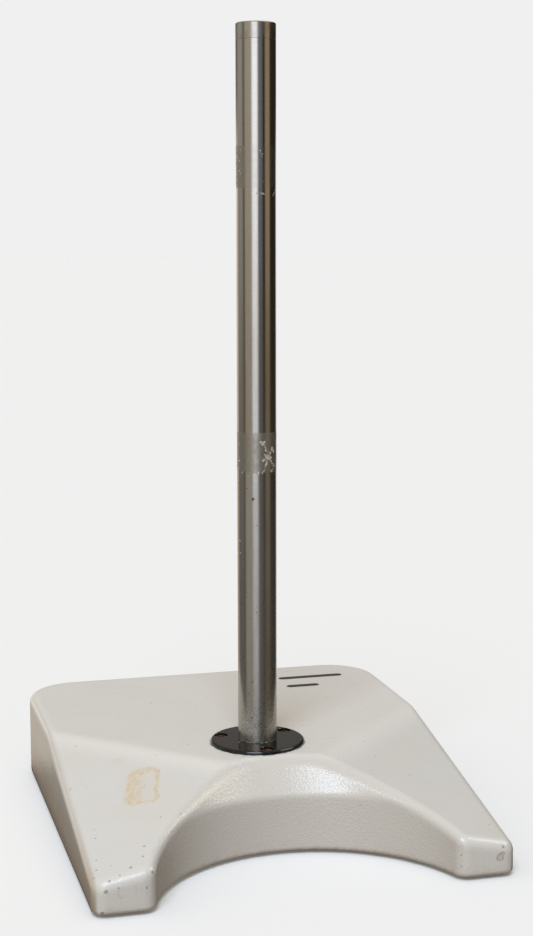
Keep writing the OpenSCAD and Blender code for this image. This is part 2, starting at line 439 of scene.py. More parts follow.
def turned_flange():
    """The black flange with its hub below, a round rim and three counterbored holes."""
    bore = COLUMN_R - 0.95 * MM
    rim, steps = 2.2 * MM, 8
    arc = [math.pi / 2 * i / steps for i in range(steps + 1)]
    edge = [(FLANGE_R - rim + rim * math.cos(a), FLANGE_TOP - rim + rim * math.sin(a)) for a in arc]
    profile = [
        (bore, FLANGE_LOW.z), (HUB_R, FLANGE_LOW.z), (HUB_R, FLANGE_SEAT), (FLANGE_R, FLANGE_SEAT), *edge,
        (FLANGE_R - 1.3 * rim, FLANGE_TOP), (bore, FLANGE_TOP),
    ]
    piece = lathe("column_flange_turned", profile, (0, COLUMN_Y), 160)
    for i in range(SCREW_COUNT):
        node = f"flange_screw_{i + 1}"
        head_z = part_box(node)[1].z - SCREW_HEAD
        below, above = FLANGE_LOW.z - 1 * MM, FLANGE_TOP + 1 * MM
        chamfer = 0.3 * MM
        cutter = [
            (0, below), (SCREW_HOLE_R, below), (SCREW_HOLE_R, head_z), (COUNTERBORE_R, head_z),
            (COUNTERBORE_R, FLANGE_TOP - chamfer), (COUNTERBORE_R + chamfer + 1 * MM, above), (0, above),
        ]
        cut(piece, lathe("counterbore", cutter, middle(node), 48))
    smooth_by_angle(piece.data)
    return piece


def socket_screw(number):
    """A socket-head screw with a rolled head edge and a hexagon socket, shank down."""
    node = f"flange_screw_{number}"
    low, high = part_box(node)
    centre = middle(node)
    head, shank = 5 * MM, 2.95 * MM
    under_head = high.z - SCREW_HEAD
    rim = [(head, under_head + 3 * MM), (head, high.z), (3 * MM, high.z)]
    profile = [
        (0, low.z), (shank - 0.6 * MM, low.z), (shank, low.z + 0.6 * MM), (shank, under_head),
        (head, under_head), *rounded(rim, 0.9 * MM, 5), (0, high.z),
    ]
    piece = lathe(f"{node}_turned", profile, centre, 64)
    cut(piece, hexagon_hole("socket", centre, 5 * MM, high.z - 3 * MM, high.z + 1 * MM))
    smooth_by_angle(piece.data)
    return piece


def rubber_foot(number):
    """A rubber foot with a rounded tread, recessed for its washer and screw."""
    node = f"foot_{number}"
    low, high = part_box(node)
    radius = (high.x - low.x) / 2
    recess, hole, washer_z = 6.2 * MM, 2.8 * MM, 7 * MM
    tread = [(radius - 4 * MM, low.z), (radius, low.z), (radius, low.z + 4 * MM)]
    crown = [(radius, high.z - 2 * MM), (radius, high.z), (radius - 2 * MM, high.z)]
    mouth = [(recess, low.z + 2 * MM), (recess, low.z), (recess + 2 * MM, low.z)]
    profile = [
        (recess, washer_z), *rounded(mouth, 0.6 * MM, 3), *rounded(tread, 1.5 * MM, 5),
        *rounded(crown, 0.5 * MM, 2), (hole, high.z), (hole, washer_z),
    ]
    return lathe(f"{node}_moulded", profile, middle(node), 64)


# ------------ torn label left on the column

def label_flakes(name, seed, groups):
    """Thin torn flakes of old label that cling to the column. A group says how far its flakes stray from
    its strands. A strand is a chain between two points, each an angle in degrees and a height in metres,
    with the number of its flakes and the largest radius in millimetres."""
    dice = random.Random(seed)
    work = bmesh.new()
    strands = [(stray, *strand) for stray, group in groups for strand in group]
    for stray, start, end, count, largest in strands:
        for i in range(count):
            share = (i + dice.random()) / count
            turn = math.radians(start[0] + (end[0] - start[0]) * share) + dice.gauss(0, stray) / COLUMN_R
            rise = start[1] + (end[1] - start[1]) * share + dice.gauss(0, stray)
            add_flake(work, dice, turn, rise, largest * MM * (0.3 + 0.7 * dice.random()))
    bmesh.ops.recalc_face_normals(work, faces=work.faces)
    return new_piece(name, work)


def add_flake(work, dice, turn, rise, size):
    """One ragged flake wrapped on the column: an outline, its centre, and the same again further out."""
    corners = dice.randint(8, 13)
    stretch = 0.6 + 0.9 * dice.random()
    lean = dice.random() * math.pi
    thickness = 0.08 * MM + 0.1 * MM * dice.random()
    outline = []
    for i in range(corners):
        around = 2 * math.pi * i / corners
        reach = size * (0.55 + 0.5 * dice.random())
        along, across = reach * math.cos(around) * stretch, reach * math.sin(around) / stretch
        outline.append((
            turn + (along * math.cos(lean) - across * math.sin(lean)) / COLUMN_R,
            rise + along * math.sin(lean) + across * math.cos(lean),
        ))
    layers = []
    for radius in (COLUMN_R - 0.05 * MM, COLUMN_R + thickness):
        ring = [
            work.verts.new((radius * math.cos(a), COLUMN_Y + radius * math.sin(a), h))
            for a, h in outline
        ]
        hub = work.verts.new((radius * math.cos(turn), COLUMN_Y + radius * math.sin(turn), rise))
        layers.append((ring, hub))
    (inner, inner_hub), (outer, outer_hub) = layers
    for i in range(corners):
        j = (i + 1) % corners
        work.faces.new((inner[i], inner[j], outer[j], outer[i]))
        work.faces.new((inner[j], inner[i], inner_hub))
        work.faces.new((outer[i], outer[j], outer_hub))


# ------------ materials

class Nodes:
    """Short calls for the shader nodes that the materials and the studio share."""

    def __init__(self, tree):
        self.tree = tree

    def put(self, socket, value):
        if isinstance(value, bpy.types.NodeSocket):
            self.tree.links.new(value, socket)
        elif value is not None:
            socket.default_value = value if isinstance(value, (int, float)) else tuple(value)

    def node(self, kind, inputs, **settings):
        """The outputs of a new node. Its inputs go by name or number, and its settings by name."""
        node = self.tree.nodes.new("ShaderNode" + kind)
        for name, value in settings.items():
            setattr(node, name, value)
        for key, value in inputs.items():
            self.put(node.inputs[key], value)
        return node.outputs

    def math(self, operation, *values, clamp=False):
        return self.node("Math", dict(enumerate(values)), operation=operation, use_clamp=clamp)[0]

    def plus(self, a, b):
        return self.math("ADD", a, b)

    def minus(self, a, b):
        return self.math("SUBTRACT", a, b)

    def times(self, product, *factors):
        for factor in factors:
            product = self.math("MULTIPLY", product, factor)
        return product

    def scaled(self, value, factor, shift):
        """The value times the factor, plus the shift."""
        return self.math("MULTIPLY_ADD", value, factor, shift)

    def most(self, largest, *others):
        for other in others:
            largest = self.math("MAXIMUM", largest, other)
        return largest

    def unsigned(self, value):
        return self.math("ABSOLUTE", value)

    def vector(self, operation, a, b=None, scale=None):
        outputs = self.node("VectorMath", {0: a, 1: b, 3: scale}, operation=operation)
        return outputs["Value"] if operation in ("DISTANCE", "DOT_PRODUCT", "LENGTH") else outputs[0]

    def part(self, axis, place=None):
        """One coordinate of a place: 0, 1 or 2."""
        return self.node("SeparateXYZ", {0: place or self.place})[axis]

    def step(self, value, low, high, out_low=0.0, out_high=1.0):
        """A smooth step from out_low at low to out_high at high."""
        inputs = {"Value": value, "From Min": low, "From Max": high, "To Min": out_low, "To Max": out_high}
        return self.node("MapRange", inputs, interpolation_type="SMOOTHSTEP")[0]

    def line_at(self, value, level, outer, inner):
        """1 where the value is within inner of a level, 0 where it is further than outer from it."""
        return self.step(self.unsigned(self.minus(value, level)), outer, inner)

    def mix(self, factor, a, b):
        """A colour that goes from a to b as the factor goes from 0 to 1."""
        return self.node("Mix", {0: factor, 6: rgba(a), 7: rgba(b)}, data_type="RGBA")[2]

    def layered(self, colour, layers):
        """A colour with others over it, each in its own mask."""
        for mask, tint in layers:
            colour = self.mix(mask, colour, tint)
        return colour

    def blend(self, factor, a, b):
        """A number that goes from a to b as the factor goes from 0 to 1."""
        return self.node("Mix", {0: factor, 2: a, 3: b})[0]


class Look(Nodes):
    """One procedural material on the part's own coordinates."""

    def __init__(self, name):
        self.material = bpy.data.materials.new(name)
        self.material.use_nodes = True
        super().__init__(self.material.node_tree)
        self.shader = self.tree.nodes["Principled BSDF"]
        self.place = self.node("TexCoord", {})["Object"]

    def noise(self, scale, detail, roughness=0.5, place=None):
        inputs = {"Vector": place or self.place, "Scale": scale, "Detail": detail, "Roughness": roughness}
        return self.node("TexNoise", inputs)[0]

    def patches(self, scale, detail, roughness, low, high, out_low=0.0, out_high=1.0, place=None):
        """Noise through a smooth step, which turns it into patches."""
        return self.step(self.noise(scale, detail, roughness, place), low, high, out_low, out_high)

    def cells(self, scale, smooth=False):
        """Distance from the nearest of many scattered points."""
        inputs = {"Vector": self.place, "Scale": scale}
        if smooth:
            inputs["Smoothness"] = 0.6
        return self.node("TexVoronoi", inputs, feature="SMOOTH_F1" if smooth else "F1")["Distance"]

    def attribute(self, name):
        return self.node("Attribute", {}, attribute_name=name)["Fac"]

    def bump(self, height_mm):
        """Relief on the normal, from a height in millimetres."""
        relief = self.node("Bump", {"Strength": 1.0, "Distance": MM, "Height": height_mm})
        self.put(self.shader.inputs["Normal"], relief[0])

    def spot(self, centre, radius, ragged=0.5, scale=700):
        """1 inside a ragged spot, 0 outside it."""
        away = self.vector("DISTANCE", self.place, centre)
        wander = self.scaled(self.noise(scale, 3), 2 * ragged * radius, -ragged * radius)
        return self.step(self.plus(away, wander), radius, radius * 0.75)

    def stroke(self, start, end, width, ragged):
        """1 along a line between two points, 0 further than half the width from it."""
        start, end = Vector(start), Vector(end)
        run = end - start
        offset = self.vector("SUBTRACT", self.place, start)
        share = self.math("DIVIDE", self.vector("DOT_PRODUCT", offset, run), run.length_squared, clamp=True)
        nearest = self.vector("SCALE", run, scale=share)
        away = self.scaled(self.noise(900, 3), ragged, self.vector("DISTANCE", offset, nearest))
        return self.step(away, width / 2, width / 4)

    def set(self, **values):
        """Sets the shader's inputs by name, with _ for a space."""
        for name, value in values.items():
            self.put(self.shader.inputs[name.replace("_", " ")], rgba(value))
        return self.material


def rgba(colour):
    """A colour of three numbers with its alpha. Anything else stays as it is."""
    if isinstance(colour, tuple) and len(colour) == 3:
        return (*colour, 1.0)
    return colour


# ------------ the casting's paint

PAINT = (0.70, 0.675, 0.63)
PAINT_WARM = (0.69, 0.655, 0.60)
# Painted light: the flat top is drawn lighter than the rest
PAINT_TOP_LIGHT = (0.765, 0.73, 0.675)
# Darker, warmer paint where the cut-out's grain is strong
PAINT_CUTOUT_DARKER = (0.645, 0.605, 0.548)
BARE = (0.24, 0.235, 0.22)
STAIN = (0.67, 0.50, 0.27)
# Brown of the long sides' painted shade and grime
SHADE_AND_GRIME = (0.44, 0.29, 0.16)
# Painted shade: dark grey low on the two long sides
LOW_SIDE_SHADE = (0.22, 0.20, 0.18)

# Wear is placed one by one, in whole millimetres: as seen from above or from the front, the side it is on,
# how far in from that side, and how far back from the front or, seen from the front, above the rim.
# Chips add their radius, and scratches have two ends and a width.
LEFT, RIGHT = -1, 1
CHIPS = {
    "left toe": ("above", LEFT, [
        (30, 10, 1.4), (45, 3, 1.5), (8, 31, 0.8), (6, 19, 0.9), (3, 12, 0.9), (17, 19, 0.6), (21, 5, 0.8),
        (13, 3, 1.0), (44, 31, 1.1), (41, 19, 1.0),
    ]),
    "left facet": ("above", LEFT, [
        (12, 59, 0.8), (13, 71, 0.6), (63, 62, 0.8), (79, 62, 0.8), (60, 111, 0.6), (77, 150, 0.6),
        (5, 137, 0.9),
    ]),
    "top": ("above", LEFT, [(19, 199, 0.8), (103, 172, 0.6), (102, 295, 1.1)]),
    "right facet and toe": ("above", RIGHT, [(75, 120, 0.7), (85, 96, 0.6), (11, 1, 1.3)]),
    "left toe's front": ("front", LEFT, [(10, 18, 1.8), (19, 20, 0.8), (40, 18, 0.9), (7, 2, 1.4)]),
    "right toe's front": ("front", RIGHT, [(45, 18, 0.7), (45, 9, 0.7)]),
}
SCRATCHES = {
    "hook on the left facet": ("above", LEFT, [((90, 111), (96, 108), 0.7), ((96, 108), (97, 100), 0.6)]),
    "left facet": ("above", LEFT, [
        ((38, 161), (53, 161), 0.5), ((13, 144), (19, 130), 0.5), ((8, 59), (16, 66), 0.5),
    ]),
    "left flare": ("above", LEFT, [((90, 82), (95, 76), 1.1)]),
    "right facet": ("above", RIGHT, [((115, 129), (107, 123), 0.6), ((25, 118), (13, 121), 0.6)]),
    "right flare": ("above", RIGHT, [((89, 70), (77, 72), 2.0)]),
    "cut-out wall": ("front", LEFT, [((160, 44), (164, 30), 0.5)]),
    "left toe's front": ("front", LEFT, [
        ((32, 21), (32, 12), 1.2), ((36, 20), (36, 13), 0.9), ((40, 22), (40, 13), 1.2),
    ]),
}


def on_casting(view, side, inward, away):
    """The point of the casting that a line of sight meets first, placed as the wear is. Each step along
    the line is as long as the distance left."""
    x = side * (HALF_W - inward * MM)
    if view == "above":
        start, way = (x, FRONT_Y + away * MM, TOP_Z), (0, 0, -1)
    else:
        start, way = (x, FRONT_Y, RIM_Z + away * MM), (0, 1, 0)
    point = np.array([start])
    for _ in range(80):
        point = point + casting_distance(point)[0] * np.array(way)
    return tuple(point[0])


def paint_wear(look):
    """Where the paint is chipped or speckled through, and where it is only scratched or scuffed."""
    chips = [
        look.spot(on_casting(view, side, inward, away), size * MM)
        for view, side, group in CHIPS.values() for inward, away, size in group
    ]
    scratches = [
        look.stroke(on_casting(view, side, *start), on_casting(view, side, *end), wide * MM, wide * MM / 2)
        for view, side, group in SCRATCHES.values() for start, end, wide in group
    ]
    specks = look.times(look.step(look.cells(60), 0.075, 0.045), look.patches(9, 2, 0.5, 0.52, 0.64))
    scuff = look.spot(on_casting("front", LEFT, 19, 14), 5 * MM, 0.8, 160)
    scuff = look.times(scuff, look.patches(420, 4, 0.7, 0.50, 0.62), 0.6)
    worn = look.most(look.times(look.most(*chips), 0.9), look.times(specks, 0.5))
    return worn, look.most(*scratches, scuff)


def paint_material():
    """Warm off-white gloss paint over cast iron, with a leather grain that is strongest in the cut-out."""
    look = Look("leather_grain_paint")
    grain = look.attribute("grain")
    hidden = look.attribute("hollow")
    height = look.part(2)
    worn, rubbed = paint_wear(look)
    drop, drop_rim = drop_chip(look)
    faded = look.spot(on_casting("above", LEFT, 47, 157), 5 * MM, 0.7, 120)
    # Painted shade: the long sides darker towards the floor
    low_side_shade = look.times(on_long_side(look), look.step(height, 22 * MM, 5 * MM, 0, 0.52))
    inside_colour = look.mix(look.noise(35, 5, 0.7), (0.16, 0.155, 0.145), (0.26, 0.25, 0.23))

    colour = look.layered(PAINT, [
        (look.patches(14, 4, 0.6, 0.35, 0.7), PAINT_WARM),
        # Painted light: lighter paint on the flat top and the top of the facets
        (look.step(height, TOP_Z - 8 * MM, TOP_Z - 1 * MM), PAINT_TOP_LIGHT),
        # Darker, warmer paint in the cut-out, following the grain
        (look.step(grain, 0.45, 1.0), PAINT_CUTOUT_DARKER),
        # Painted shade and grime: the long sides browner and darker lower down
        (side_shade_and_grime(look, height), SHADE_AND_GRIME), (low_side_shade, LOW_SIDE_SHADE),
        (tape_stain(look), STAIN), (look.times(faded, 0.16), STAIN),
        (look.times(rubbed, 0.42), BARE), (look.times(worn, 0.78), BARE),
        (look.times(drop, 0.6), (0.55, 0.50, 0.40)), (look.times(drop_rim, 0.55), (0.30, 0.23, 0.14)),
        (hidden, inside_colour),
    ])

    leather = look.plus(look.cells(540, smooth=True), look.times(look.noise(880, 1), 1.1))
    orange_peel = look.plus(look.noise(330, 1), look.times(look.noise(70, 2), 1.5))
    relief = look.times(orange_peel, 0.055)
    relief = look.scaled(look.times(leather, grain), 0.17, relief)
    relief = look.scaled(look.times(look.noise(280, 6, 0.8), hidden), 0.8, relief)
    relief = look.scaled(look.most(worn, drop), -0.16, relief)
    look.bump(look.scaled(rubbed, -0.05, relief))

    gloss = look.blend(look.patches(22, 4, 0.6, 0.3, 0.75), 0.27, 0.36)
    gloss = look.scaled(grain, -0.05, gloss)
    gloss = look.blend(on_long_side(look), gloss, 0.11)
    gloss = look.blend(look.most(worn, rubbed, hidden), gloss, 0.75)
    return look.set(Base_Color=colour, Roughness=gloss, Specular_IOR_Level=0.5)


def side_shade_and_grime(look, height):
    """Brown painted shade and grime on the two long sides, darker lower down, and a little darkening all
    round the rim.
    """
    low = look.step(height, 52 * MM, 10 * MM)
    side = look.times(on_long_side(look), low, look.patches(40, 5, 0.7, 0.25, 0.75, 0.65, 1.0))
    at_rim = look.times(look.step(height, 16 * MM, 3 * MM), look.patches(60, 5, 0.7, 0.4, 0.8))
    return look.most(look.times(side, 0.70), look.times(at_rim, 0.30))


def on_long_side(look):
    """1 on the two long upright sides."""
    from_side = look.minus(HALF_W, look.unsigned(look.part(0)))
    return look.step(from_side, 4.5 * MM, 1.5 * MM)


def tape_stain(look):
    """The yellowed outline that a strip of tape left on the left facet: a ragged rounded frame,
    heavier on the side away from the column."""
    turn = math.radians(77)
    half_long, half_wide, corner = 22 * MM, 9.5 * MM, 4 * MM
    offset = look.vector("SUBTRACT", look.place, on_casting("above", LEFT, 60, 111))
    along = look.vector("DOT_PRODUCT", offset, (math.cos(turn), math.sin(turn), 0))
    across = look.vector("DOT_PRODUCT", offset, (-math.sin(turn), math.cos(turn), 0))
    over_long = look.most(look.minus(look.unsigned(along), half_long - corner), 0)
    over_wide = look.most(look.minus(look.unsigned(across), half_wide - corner), 0)
    squared = look.scaled(over_long, over_long, look.times(over_wide, over_wide))
    from_frame = look.minus(look.math("SQRT", squared), corner)
    wander = look.scaled(look.noise(75, 4, 0.65), 9 * MM, -4.5 * MM)
    edge = look.unsigned(look.plus(from_frame, wander))
    band = look.step(look.plus(across, look.times(along, 0.25)), -12 * MM, 12 * MM, 2.2 * MM, 7.0 * MM)
    ring = look.step(look.math("DIVIDE", edge, band), 1.0, 0.45)
    ring = look.times(ring, look.patches(330, 5, 0.8, 0.38, 0.60, 0.10, 1.0), 0.85)
    return look.most(ring, look.times(look.step(from_frame, 1 * MM, -4 * MM), 0.10))


def drop_chip(look):
    """A blister shaped like a drop on the right toe's front: its pale floor and its brown rim."""
    wide_end = look.vector("DISTANCE", look.place, on_casting("front", RIGHT, 14, 14))
    narrow_end = look.vector("DISTANCE", look.place, on_casting("front", RIGHT, 12, 17))
    body = look.math("MINIMUM", wide_end, look.plus(narrow_end, 1.3 * MM))
    body = look.scaled(look.noise(380, 3), 2.4 * MM, look.minus(body, 1.2 * MM))
    return look.step(body, 2.6 * MM, 2.0 * MM), look.line_at(body, 2.5 * MM, 0.8 * MM, 0.3 * MM)


# ------------ the other materials

STEEL = (0.52, 0.505, 0.48)
STEEL_BROWN = (0.43, 0.37, 0.29)
GLUE = (0.30, 0.27, 0.20)


def steel_material():
    """Ground steel: clean near the top, brown with handling lower down, dull and pitted at the foot."""
    look = Look("ground_steel")
    height = look.part(2)
    stretched = look.vector("MULTIPLY", look.place, (1.0, 1.0, 0.12))
    rings = look.vector("MULTIPLY", look.place, (0.12, 0.12, 1.0))
    tarnish = look.patches(70, 5, 0.65, 0.38, 0.72, place=stretched)
    aged = look.step(height, 0.62, 0.30, 0.25, 0.85)
    foot = look.step(height, 0.135, 0.082)
    cloudy = look.times(foot, look.patches(240, 5, 0.75, 0.25, 0.65, 0.55, 1.0))
    mottle = look.times(look.patches(800, 3, 0.6, 0.42, 0.62), look.times(foot, 0.8))
    pits = steel_pits(look, height)
    glue, glue_edge = glue_bands(look, height)
    grind = look.noise(1500, 4, 0.7, place=rings)

    colour = look.layered(STEEL, [
        (look.times(tarnish, aged), STEEL_BROWN),
        (look.times(cloudy, 0.45), (0.40, 0.39, 0.36)), (mottle, (0.20, 0.19, 0.17)),
        (look.times(pits, 0.85), (0.11, 0.065, 0.035)), (look.times(glue, 0.75), GLUE),
        (look.times(glue_edge, 0.35), (0.50, 0.45, 0.35)),
        (look.step(grind, 0.35, 0.65, 0.0, 0.13), (0.30, 0.29, 0.27)),
    ])

    relief = look.times(grind, 0.0035)
    relief = look.scaled(look.times(look.noise(900, 4, 0.7), cloudy), 0.030, relief)
    look.bump(look.scaled(look.times(look.noise(500, 4, 0.7), glue), 0.03, relief))

    worn_low = look.step(height, 0.50, 0.16)
    polish = look.blend(tarnish, 0.15, 0.20)
    polish = look.scaled(worn_low, 0.05, polish)
    polish = look.blend(look.times(cloudy, 0.8), polish, 0.30)
    polish = look.blend(look.most(pits, look.times(glue, 0.5)), polish, 0.6)
    film = look.blend(worn_low, 1.0, 0.90)
    film = look.blend(cloudy, film, 0.84)
    film = look.blend(glue, film, 0.72)
    return look.set(Base_Color=colour, Roughness=polish, Metallic=film)


def on_column(degrees, height):
    """A point on the column's surface."""
    turn = math.radians(degrees)
    return (COLUMN_R * math.cos(turn), COLUMN_Y + COLUMN_R * math.sin(turn), height)


def steel_pits(look, height):
    """Rust pits: many small ones low on the column, and a few larger ones placed one by one."""
    many = look.times(look.step(look.cells(200), 0.15, 0.09), look.patches(60, 3, 0.5, 0.44, 0.52))
    few = [
        look.spot(on_column(degrees, rise), size * MM, ragged)
        for degrees, rise, size, ragged in (
            (-116, 0.2805, 1.3, 0.8), (-134, 0.289, 0.6, 0.6),
            (-70, 0.115, 0.9, 0.6), (-122, 0.099, 1.0, 0.6),
        )
    ]
    run = look.stroke(on_column(-123, 0.2593), on_column(-103, 0.2590), 1.1 * MM, 0.5 * MM)
    return look.most(look.times(many, look.step(height, 0.26, 0.14)), *few, run)


def glue_bands(look, height):
    """Two bands where labels were: a film of glue, and the pale ragged lines at its edges. The upper
    film is left only on one side."""
    films, edges = [], []
    one_side = look.step(look.part(0), -10.5 * MM, -13 * MM, 0.12, 1.0)
    for low, high, strength in ((0.528, 0.562, one_side), (0.3015, 0.3345, 0.9)):
        level = look.plus(height, look.scaled(look.noise(120, 4, 0.7), 2.4 * MM, -1.2 * MM))
        patchy = look.patches(260, 5, 0.7, 0.30, 0.62, 0.45, 1.0)
        inside = look.times(look.step(level, low, low + 1 * MM), look.step(level, high, high - 1 * MM))
        films.append(look.times(inside, patchy, strength))
        for border in (low, high):
            edges.append(look.times(look.line_at(level, border, 0.7 * MM, 0.2 * MM), patchy, strength))
    return look.most(*films), look.most(*edges)


def from_axis(look):
    """Distance from the column's axis."""
    offset = look.vector("SUBTRACT", look.place, (0, COLUMN_Y, 0))
    return look.vector("LENGTH", look.vector("MULTIPLY", offset, (1, 1, 0)))


def turned_steel_material():
    """The end plug: the column's steel without its age, with turning marks on its top face."""
    look = Look("turned_steel")
    groove = look.math("SINE", look.times(from_axis(look), 2 * math.pi / (0.35 * MM)))
    top_face = look.step(look.part(2), PLUG_HIGH.z - 1.4 * MM, PLUG_HIGH.z - 0.2 * MM)
    smudge = look.patches(90, 5, 0.7, 0.35, 0.7)
    colour = look.mix(look.times(smudge, 0.5), STEEL, STEEL_BROWN)
    look.bump(look.scaled(look.noise(1500, 3), 0.002, look.times(groove, top_face, 0.004)))
    return look.set(Base_Color=colour, Roughness=look.blend(smudge, 0.18, 0.28), Metallic=1.0)


def black_material():
    """Satin black on turned steel, dusty, with a fleck of paint, and rubbed at the rim."""
    look = Look("satin_black")
    at_rim = look.step(from_axis(look), FLANGE_R - 2.4 * MM, FLANGE_R - 0.6 * MM)
    rubbed = look.times(at_rim, look.patches(300, 4, 0.7, 0.45, 0.75))
    dust = look.times(look.patches(420, 6, 0.75, 0.5, 0.8), 0.18)
    fleck = look.spot((-17.6 * MM, COLUMN_Y - 8 * MM, FLANGE_TOP), 0.7 * MM, 0.6)
    lint = look.times(look.step(look.cells(520), 0.10, 0.05), look.patches(60, 2, 0.5, 0.55, 0.7))
    colour = look.layered((0.0085, 0.0070, 0.0060), [
        (dust, (0.065, 0.058, 0.050)), (look.times(rubbed, 0.05), (0.10, 0.095, 0.09)),
        (fleck, (0.6, 0.57, 0.5)), (lint, (0.25, 0.24, 0.22)),
    ])
    look.bump(look.times(look.noise(800, 3, 0.6), 0.006))
    gloss = look.blend(look.patches(160, 5, 0.7, 0.3, 0.7), 0.07, 0.13)
    return look.set(Base_Color=colour, Roughness=gloss, Specular_IOR_Level=0.42)


def two_tone(name, patches, colours, grain, roughness, share=1.0, metal=0.0):
    """A surface that changes in patches between two colours and two roughnesses, with a fine grain.
    The share says how far the colour gets, and the grain's last number is its height in millimetres."""
    look = Look(name)
    patch = look.patches(*patches)
    *pattern, height = grain
    look.bump(look.times(look.noise(*pattern), height))
    colour = look.mix(look.times(patch, share), *colours)
    return look.set(Base_Color=colour, Roughness=look.blend(patch, *roughness), Metallic=metal)


def lacquer_material():
    """Dull red-brown sealing lacquer over the screw heads, pooled and dusty."""
    colours = (0.055, 0.016, 0.012), (0.20, 0.068, 0.050)
    return two_tone("screw_lacquer", (520, 4, 0.7, 0.35, 0.65), colours, (900, 4, 0.7, 0.12), (0.28, 0.50))


def seal_material():
    """Old yellowish sealing compound, cracked and dirty."""
    colours = (0.055, 0.048, 0.035), (0.36, 0.32, 0.18)
    return two_tone("seal_compound", (600, 4, 0.7, 0.4, 0.62), colours, (1200, 3, 0.5, 0.05), (0.5, 0.7))


def label_material():
    """Torn paper label, yellowed and grubby."""
    colours = (0.66, 0.63, 0.56), (0.38, 0.33, 0.24)
    return two_tone("torn_label", (420, 4, 0.7, 0.4, 0.62), colours, (1600, 4, 0.7, 0.05), (0.75, 0.9))


def ink_material():
    """Dark printed ink, thin in places."""
    colours = (0.018, 0.018, 0.02), (0.16, 0.155, 0.15)
    patches = (700, 5, 0.75, 0.50, 0.68)
    return two_tone("printed_ink", patches, colours, (900, 3, 0.5, 0.01), (0.45, 0.6), share=0.45)


def rubber_material():
    """Matt black rubber with dust in its grain."""
    colours = (0.018, 0.018, 0.018), (0.09, 0.085, 0.078)
    patches = (300, 5, 0.7, 0.45, 0.75)
    return two_tone("foot_rubber", patches, colours, (1400, 3, 0.5, 0.04), (0.7, 0.85), share=0.5)


def fixing_material(name, bright, dull, shine):
    """Metal of a hidden fixing: plated or oiled, with a patchy surface."""
    patches = (240, 5, 0.7, 0.35, 0.7)
    grain = (1300, 3, 0.5, 0.012)
    return two_tone(name, patches, (bright, dull), grain, (shine, shine + 0.2), metal=1.0)


# ------------ camera, floor and light

CAMERA_PLACE = Vector((-348.3 * MM, COLUMN_Y - 1338.8 * MM, RIM_Z + 492.4 * MM))
CAMERA_HEADING = math.radians(14.91)
CAMERA_PITCH = math.radians(-7.887)
CAMERA_ROLL = math.radians(-0.102)
CAMERA_LENS = 66.06
SENSOR = 36
PALE = (0.871, 0.871, 0.871)
FLOOR_LIFT = 0.075


def add_camera():
    """The photograph's viewpoint: from the front left, a little above the middle of the column."""
    data = bpy.data.cameras.new("view")
    data.sensor_fit = "VERTICAL"
    data.sensor_height = SENSOR
    data.lens = CAMERA_LENS
    camera = new_object("view", data)
    flat = math.cos(CAMERA_PITCH)
    side, ahead = math.sin(CAMERA_HEADING) * flat, math.cos(CAMERA_HEADING) * flat
    forward = Vector((side, ahead, math.sin(CAMERA_PITCH)))
    camera.location = CAMERA_PLACE
    camera.rotation_mode = "QUATERNION"
    level = forward.to_track_quat("-Z", "Y")
    camera.rotation_quaternion = level @ Quaternion((0, 0, 1), CAMERA_ROLL)
    bpy.context.scene.camera = camera


def add_floor():
    """A plain pale floor, wide enough to fill every view."""
    reach = 30
    corners = [(-reach, -reach, 0), (reach, -reach, 0), (reach, reach, 0), (-reach, reach, 0)]
    mesh = bpy.data.meshes.new("floor")
    mesh.from_pydata(corners, [], [(0, 1, 2, 3)])
    floor = new_object("floor", mesh)
    look = Look("pale_floor")
    look.set(Base_Color=(0.86, 0.855, 0.845), Roughness=1.0, Specular_IOR_Level=0.0,
             Emission_Color=(1, 1, 1), Emission_Strength=FLOOR_LIFT)
    mesh.materials.append(look.material)
    floor.visible_glossy = False
    floor.visible_diffuse = False


# Far, soft lights: azimuth from the front (left is negative), elevation, strength, colour, softness in
# degrees, and whether it lights matt surfaces too or only leaves a highlight
LIGHTS = {
    "key": (-24, 52, 2.12, (0.73, 0.845, 1.0), 30, True),
    "lamp": (84, 44, 1.0, (1.0, 0.92, 0.66), 30, False),
}
# Soft light from each side of the studio, on everything that isn't a mirror
AMBIENT = {
    (-1, 0, 0): (0.43, 0.38, 0.315), (1, 0, 0): (0.02, 0.02, 0.02), (0, -1, 0): (0.52, 0.47, 0.41),
    (0, 1, 0): (0.56, 0.48, 0.39), (0, 0, 1): (0.695, 0.625, 0.525), (0, 0, -1): (0.20, 0.195, 0.19),
}
# What the steel mirrors: upright strips, by azimuth from the front (left is negative), half width,
# softness and top, all in degrees, how much of their light is left near the floor, and brightness
STRIPS = {
    "window": (-22.5, 15, 8, 90, 0.37, (1.53, 1.58, 1.68)),
    "left_wall": (-63, 20, 7, 90, 0.70, (0.48, 0.435, 0.355)),
    "dim_left_wall": (-120, 22, 14, 90, 0.15, (0.40, 0.38, 0.34)),
    "far_left_wall": (-165, 18, 10, 3, 0.46, (0.92, 0.81, 0.66)),
    "window_frame": (6, 15, 8, 90, 0.22, (0.18, 0.19, 0.21)),
    "wooden_door": (54, 14, 7, 90, 0.20, (0.40, 0.305, 0.195)),
    "back_wall": (175, 24, 15, 90, 0.30, (0.235, 0.225, 0.21)),
    "back_window": (146, 12, 8, 3, 1.00, (0.55, 0.54, 0.51)),
}
STUDIO_DARK = (0.03, 0.025, 0.018)
# Heights in the mirrored studio, as the sine of their elevation: the counter's edge and half its softness,
# where the strips reach their full light, where the floor and the ceiling begin and where they are plain
COUNTER_EDGE, COUNTER_SOFT = -0.3012, 0.006
BELOW_COUNTER = 0.25
STRIP_DIM, STRIP_BRIGHT = -0.30, 0.12
FLOOR_BEGINS, FLOOR_PLAIN = -0.36, -0.66
CEILING_BEGINS, CEILING_PLAIN = 0.30, 0.75
STUDIO_CEILING = (0.50, 0.49, 0.47)
STUDIO_FLOOR = (0.42, 0.41, 0.39)


